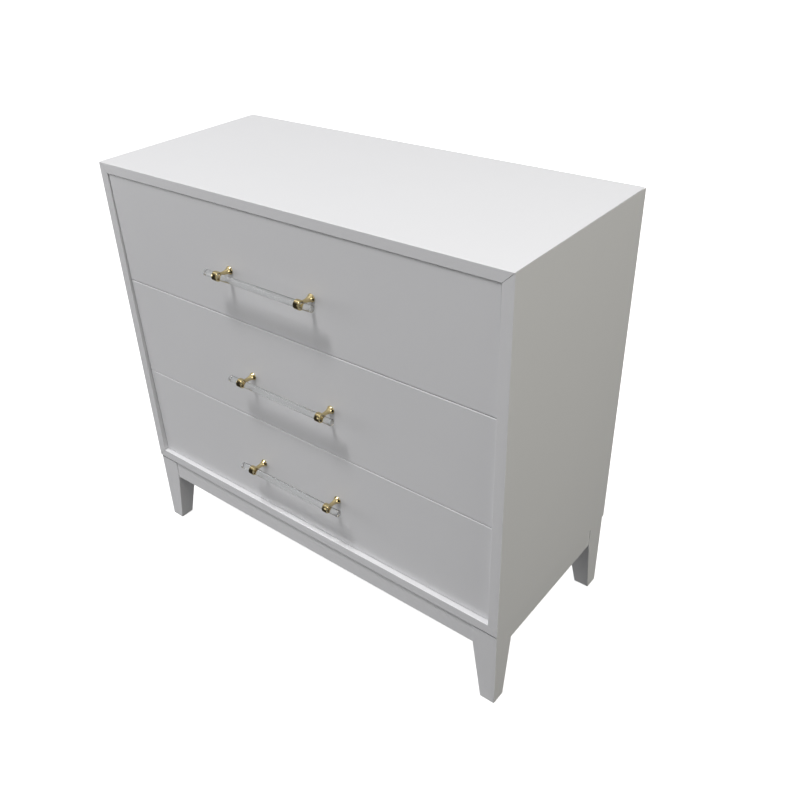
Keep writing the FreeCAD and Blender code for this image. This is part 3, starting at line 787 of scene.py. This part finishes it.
@dataclass
class Pull:
    """Clear rod in the barrels of two turned brass posts, on one drawer."""

    drawer: str
    spacing: float = 197 * MM
    rod_round: float = 0.8 * MM
    rim_radius: float = 8 * MM
    rim_thickness: float = 1.0 * MM
    rim_round: float = 0.4 * MM
    flare: float = 4.2 * MM
    flare_length: float = 14 * MM
    hole_radius: float = 2.1 * MM
    hole_depth: float = 11.1 * MM
    neck_end: float = 7.0 * MM
    barrel_radius: float = 8.8 * MM
    barrel_length: float = 11.5 * MM
    barrel_round: float = 0.9 * MM
    bore_radius: float = 6.3 * MM
    sides: int = 72
    rod_sides: int = 144

    @property
    def rod_name(self) -> str:
        """Name of the clear rod."""
        return f"{self.drawer}_clear_rod"

    def build_rod(self, acrylic: bpy.types.Material) -> bpy.types.Object:
        """Make the clear rod where the solid rod lies.

        Args:
            acrylic: The rod's finish.

        Returns:
            The finished rod.
        """
        low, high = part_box(f"{self.drawer}_pull_rod")
        radius = (high.z - low.z) / 2
        half = (high.x - low.x) / 2
        inner = radius - self.rod_round
        outline = [(0.0, -half)] + arc((inner, self.rod_round - half), self.rod_round, -90, 0)
        outline += arc((inner, half - self.rod_round), self.rod_round, 0, 90) + [(0.0, half)]
        mesh = turned(self.rod_name, outline, Vector((1, 0, 0)), self.rod_sides)
        mesh.transform(Matrix.Translation((low + high) / 2))
        mesh.materials.append(acrylic)
        return new_object(self.rod_name, mesh)

    def post_mesh(self, reach: float) -> bpy.types.Mesh:
        """Make one post with its foot at the origin and its barrel in front.

        Args:
            reach: Distance from the post's seat to the rod's axis.

        Returns:
            Stem and barrel as one closed mesh.
        """
        neck = self.rim_radius - self.flare
        bell = (self.flare ** 2 + self.flare_length ** 2) / (2 * self.flare)
        spread = math.degrees(math.asin(self.flare_length / bell))
        stem = [(0.0, self.hole_depth), (self.hole_radius, self.hole_depth), (self.hole_radius, 0.0)]
        stem += [(self.rim_radius - self.rim_round, 0.0)]
        stem += arc((self.rim_radius - self.rim_round, self.rim_round), self.rim_round, -90, 0, steps=4)[1:]
        stem += arc((neck + bell, self.rim_thickness + self.flare_length), bell, 180 + spread, 180, steps=16)
        stem += [(neck, reach - self.neck_end), (0.0, reach - self.neck_end)]
        stem_mesh = turned("post_stem", stem, Vector((0, -1, 0)), self.sides)
        half = self.barrel_length / 2 - self.barrel_round
        outer = self.barrel_radius - self.barrel_round
        inner = self.bore_radius + self.barrel_round / 2
        barrel = arc((outer, -half), self.barrel_round, -90, 0) + arc((outer, half), self.barrel_round, 0, 90)
        barrel += arc((inner, half + self.barrel_round / 2), self.barrel_round / 2, 90, 180, steps=3)
        barrel += arc((inner, -half - self.barrel_round / 2), self.barrel_round / 2, 180, 270, steps=3)
        barrel_mesh = turned("post_barrel", barrel, Vector((1, 0, 0)), self.sides, ring=True)
        barrel_mesh.transform(Matrix.Translation((0, -reach, 0)))
        return combined(stem_mesh, barrel_mesh, Cut.JOIN)

    def build_posts(self, brass: bpy.types.Material, pieces: Repeat) -> bpy.types.Object:
        """Make the two posts where the solid posts stand.

        Args:
            brass: The posts' finish.
            pieces: Tree that repeats the post.

        Returns:
            Both posts as one object.
        """
        low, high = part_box(f"{self.drawer}_pull_rod")
        middle = (low + high) / 2
        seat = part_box(f"{self.drawer}_pull_posts")[1].y
        post = new_object("pull_post", self.post_mesh(seat - middle.y))
        feet = [Vector((middle.x + side * self.spacing / 2, seat, middle.z)) for side in (-1, 1)]
        posts = pieces.spread(f"{self.drawer}_brass_posts", feet, [0.0, 0.0], {
            "Piece": post, "Finish": brass})
        bpy.data.objects.remove(post)
        return posts

    def build(self, acrylic: bpy.types.Material, brass: bpy.types.Material, pieces: Repeat) -> None:
        """Make the pull and let it ride on its drawer.

        Args:
            acrylic: The rod's finish.
            brass: The posts' finish.
            pieces: Tree that repeats the post.
        """
        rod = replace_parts(self.build_rod(acrylic), f"{self.drawer}_pull_rod")
        keep(rod, f"{self.drawer}_drawer")
        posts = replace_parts(self.build_posts(brass, pieces), f"{self.drawer}_pull_posts")
        keep(posts, f"{self.drawer}_drawer")


@dataclass
class Runners:
    """Pair of three-member runners beside one drawer, with their bearing balls and box screws."""

    drawer: str
    lip_middle: float = 4.6 * MM
    outer_race: float = 20.2 * MM
    inner_race: float = 16.8 * MM
    ball_radius: float = 1.05 * MM
    ball_pitch: float = 7.6 * MM
    balls: int = 21
    cage_width: float = 5 * MM
    cage_thickness: float = 0.5 * MM
    web_depth: float = 7.9 * MM
    head_radius: float = 3.2 * MM
    head_height: float = 1.5 * MM
    head_sides: int = 24
    dome_share: float = 0.6
    slot_length: float = 3.6 * MM
    slot_width: float = 0.8 * MM
    screw_shares: tuple[float, ...] = (0.08, 0.36, 0.64, 0.92)

    def build_balls(self, zinc: bpy.types.Material, rows: Repeat) -> bpy.types.Object:
        """Make the rows of balls: the outer ones at the middle member's rear, the inner ones at its front.

        Args:
            zinc: Finish of the balls and cages.
            rows: Tree that makes a row on each point.

        Returns:
            All the drawer's rows as one object.
        """
        low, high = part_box(f"{self.drawer}_middle_runners")
        middle = (low + high) / 2
        quarter = (high.y - low.y) / 4
        points = []
        for x in (low.x + self.lip_middle, high.x - self.lip_middle):
            for way in (-1, 1):
                points.append(Vector((x, middle.y + quarter, middle.z + way * self.outer_race)))
                points.append(Vector((x, middle.y - quarter, middle.z + way * self.inner_race)))
        cage = Vector((self.cage_width, self.balls * self.ball_pitch, self.cage_thickness))
        return rows.spread(f"{self.drawer}_bearing_balls", points, [0.0] * len(points), {
            "Balls": self.balls, "Pitch": self.ball_pitch, "Ball Radius": self.ball_radius,
            "Cage": cage, "Finish": zinc})

    def head_mesh(self) -> bpy.types.Mesh:
        """Make a pan head that looks along +X, with a cross slot."""
        dome = self.head_height * self.dome_share
        outline = [(0.0, 0.0), (self.head_radius, 0.0)]
        outline += arc((self.head_radius - dome, self.head_height - dome), dome, 0, 90, steps=5)
        outline += [(0.0, self.head_height)]
        head = turned("screw_head", outline, Vector((1, 0, 0)), self.head_sides)
        for wide, high in ((self.slot_length, self.slot_width), (self.slot_width, self.slot_length)):
            shape = bmesh.new()
            size = Matrix.Diagonal((self.head_height, wide, high, 1.0))
            bmesh.ops.create_cube(shape, matrix=Matrix.Translation((self.head_height, 0, 0)) @ size)
            slot = bpy.data.meshes.new("screw_slot")
            shape.to_mesh(slot)
            shape.free()
            head = combined(head, slot, Cut.TAKE_AWAY)
        return head

    def build_screws(self, zinc: bpy.types.Material, pieces: Repeat) -> bpy.types.Object:
        """Make the screw heads in the channels of the members that are fixed to the drawer box.

        Args:
            zinc: Finish of the screws.
            pieces: Tree that repeats the head.

        Returns:
            All the drawer's screw heads as one object.
        """
        low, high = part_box(f"{self.drawer}_box_runners")
        height = (low.z + high.z) / 2
        points, turns = [], []
        for x, turn in ((low.x + self.web_depth, math.pi), (high.x - self.web_depth, 0.0)):
            for share in self.screw_shares:
                points.append(Vector((x, low.y + (high.y - low.y) * share, height)))
                turns.append(turn)
        head = new_object("runner_screw_head", self.head_mesh())
        screws = pieces.spread(f"{self.drawer}_runner_screws", points, turns, {"Piece": head, "Finish": zinc})
        bpy.data.objects.remove(head)
        return screws

    def build(
            self, sheet: bpy.types.Material, zinc: bpy.types.Material, pieces: Repeat,
            rows: Repeat) -> None:
        """Finish the members and make the balls and screws.

        Args:
            sheet: Finish of the three members.
            zinc: Finish of the balls, cages and screws.
            pieces: Tree that repeats a piece.
            rows: Tree that makes rows of balls.
        """
        dress([f"{self.drawer}_{member}_runners" for member in ("case", "middle", "box")], sheet)
        keep(self.build_balls(zinc, rows), f"{self.drawer}_runners")
        keep(self.build_screws(zinc, pieces), f"{self.drawer}_drawer")


@dataclass
class Softbox:
    """One soft lamp.

    Attributes:
        name: Name of the lamp.
        place: Where it hangs.
        target: What it looks at.
        size: Width and height of its face.
        power: Power in watts.
        colour: Colour of its light.
        is_fill: Whether it only fills shadows, and shines past clear rods as if they weren't there.
        is_mirrored: Whether polished pieces mirror it.
    """

    name: str
    place: tuple[float, float, float]
    target: tuple[float, float, float]
    size: tuple[float, float]
    power: float
    colour: str
    is_fill: bool = False
    is_mirrored: bool = True

    def hang(self, clear: bpy.types.Collection) -> None:
        """Put the lamp into the scene.

        Args:
            clear: Pieces that a fill lamp shines past.
        """
        lamp = bpy.data.lights.new(self.name, "AREA")
        lamp.shape = "RECTANGLE"
        lamp.size, lamp.size_y = self.size
        lamp.energy = self.power
        lamp.color = linear(self.colour)[:3]
        holder = bpy.data.objects.new(self.name, lamp)
        holder.location = self.place
        holder.rotation_euler = (Vector(self.target) - Vector(self.place)).to_track_quat("-Z", "Y").to_euler()
        holder.visible_camera = False
        holder.visible_glossy = self.is_mirrored
        holder.visible_transmission = self.is_mirrored and not self.is_fill
        if self.is_fill:
            holder.light_linking.blocker_collection = clear
        bpy.context.scene.collection.objects.link(holder)


@dataclass
class Studio:
    """Pale floor and dome, soft light and the camera at the photograph's angle."""

    floor_reach: float = 14.0
    floor_steps: int = 5
    room_glow: float = 0.03
    ceiling_glow: float = 1.0
    ceiling_start: float = 0.45
    camera_place: tuple[float, float, float] = (0.9712, -1.07826, 1.3272)
    turn: float = 40.419
    tilt: float = 31.673
    roll: float = -2.636
    lens: float = 38.166
    sensor: float = 36.0
    far_clip: float = 60.0
    shift: tuple[float, float] = (0.0293, -0.0182)
    lamps: tuple[Softbox, ...] = (
        Softbox("key_softbox", (-0.40, -2.90, 8.00), (0.0, -0.15, 0.60), (1.2, 1.2), 308.0, "#FFFFFF"),
        Softbox("front_softbox", (-0.60, -3.20, 0.80), (0.0, -0.19, 0.30), (2.4, 1.6), 15.5, "#FFFFFF",
                is_fill=True),
        Softbox("left_softbox", (-3.80, -2.20, 1.00), (0.0, -0.19, 0.40), (1.5, 2.0), 31.0, "#FFFFFF"),
        Softbox("right_softbox", (3.80, 0.20, 1.80), (0.40, 0.0, 0.50), (2.4, 2.0), 59.0, "#FBF9EE"),
        Softbox("high_softbox", (-2.40, 0.60, 3.70), (0.0, 0.0, 0.80), (2.6, 2.6), 20.0, "#FFFFFF"),
        Softbox("rear_softbox", (-0.30, 3.60, 0.45), (0.0, 0.20, 0.45), (2.4, 0.8), 40.0, "#FFFFFF"),
        Softbox("floor_bounce", (-0.20, -0.60, 0.004), (-0.20, -0.60, 1.0), (1.3, 1.6), 1.1, "#FFFFFF",
                is_mirrored=False),
    )

    def lay_floor(self) -> None:
        """Lay the pale floor, which runs up into a pale dome that only the camera sees."""
        shape = bmesh.new()
        bmesh.ops.create_icosphere(shape, subdivisions=self.floor_steps, radius=self.floor_reach)
        for corner in shape.verts:
            corner.co.z = max(corner.co.z, 0.0)
        mesh = bpy.data.meshes.new("studio_floor")
        shape.to_mesh(mesh)
        shape.free()
        mesh.materials.append(PAPER.material())
        floor = new_object("studio_floor", mesh)
        for kind in ("diffuse", "glossy", "transmission", "shadow"):
            setattr(floor, f"visible_{kind}", False)

    def light(self) -> None:
        """Hang the lamps in a dark room with a bright ceiling."""
        clear = bpy.data.collections.new("clear_rods")
        for drawer in DRAWERS:
            clear.objects.link(bpy.data.objects[Pull(drawer).rod_name])
        for member in clear.collection_objects:
            member.light_linking.link_state = "EXCLUDE"
        for lamp in self.lamps:
            lamp.hang(clear)
        world = bpy.data.worlds.new("studio_room")
        world.use_nodes = True
        bpy.context.scene.world = world
        tree = world.node_tree
        tree.nodes.clear()
        way = add_node(tree, "ShaderNodeTexCoord")
        parts = add_node(tree, "ShaderNodeSeparateXYZ", {"Vector": way.outputs["Generated"]})
        glow = add_node(tree, "ShaderNodeMapRange", {
            "Value": parts.outputs["Z"], "From Min": self.ceiling_start, "To Min": self.room_glow,
            "To Max": self.ceiling_glow})
        room = add_node(tree, "ShaderNodeBackground", {
            "Color": linear("#FFFFFF"), "Strength": glow.outputs["Result"]})
        add_node(tree, "ShaderNodeOutputWorld", {"Surface": room.outputs["Background"]})

    def set_camera(self) -> None:
        """Stand the camera where the photograph was taken."""
        turn, tilt, roll = (math.radians(angle) for angle in (self.turn, self.tilt, self.roll))
        back = Vector((math.sin(turn) * math.cos(tilt), -math.cos(turn) * math.cos(tilt), math.sin(tilt)))
        side = Vector((0, 0, 1)).cross(back).normalized()
        over = back.cross(side)
        right = side * math.cos(roll) + over * math.sin(roll)
        up = over * math.cos(roll) - side * math.sin(roll)
        data = bpy.data.cameras.new("photo_camera")
        data.sensor_fit = "HORIZONTAL"
        data.sensor_width = self.sensor
        data.lens = self.lens
        data.shift_x, data.shift_y = self.shift
        data.clip_end = self.far_clip
        camera = bpy.data.objects.new("photo_camera", data)
        turned_to = Matrix((right, up, back)).transposed().to_4x4()
        camera.matrix_world = Matrix.Translation(self.camera_place) @ turned_to
        bpy.context.scene.collection.objects.link(camera)
        bpy.context.scene.camera = camera

    def build(self) -> None:
        """Set up the whole studio."""
        self.lay_floor()
        self.light()
        self.set_camera()
        bpy.context.scene.view_settings.view_transform = "Standard"
        log.info("studio: floor, %d lamps and camera", len(self.lamps))


def main() -> None:
    """Build and dress the chest, piece by piece, and set it in the studio."""
    logging.basicConfig(level=logging.INFO, format="%(name)s: %(message)s")
    lacquer = WHITE_LACQUER.material()
    poplar = BARE_POPLAR.material()
    sheet = ZINC_SHEET.material()
    zinc = ZINC_SCREW.material()
    acrylic = ACRYLIC.material()
    brass = BRASS.material()
    pieces = Repeat.of_pieces()
    rows = Repeat.of_ball_rows()
    Case().dress(lacquer, poplar, zinc)
    Base().dress(lacquer, poplar, zinc)
    Boxes().dress(lacquer, zinc)
    for drawer in DRAWERS:
        Pull(drawer).build(acrylic, brass, pieces)
        Runners(drawer).build(sheet, zinc, pieces, rows)
    Studio().build()


if __name__ == "__main__":
    main()
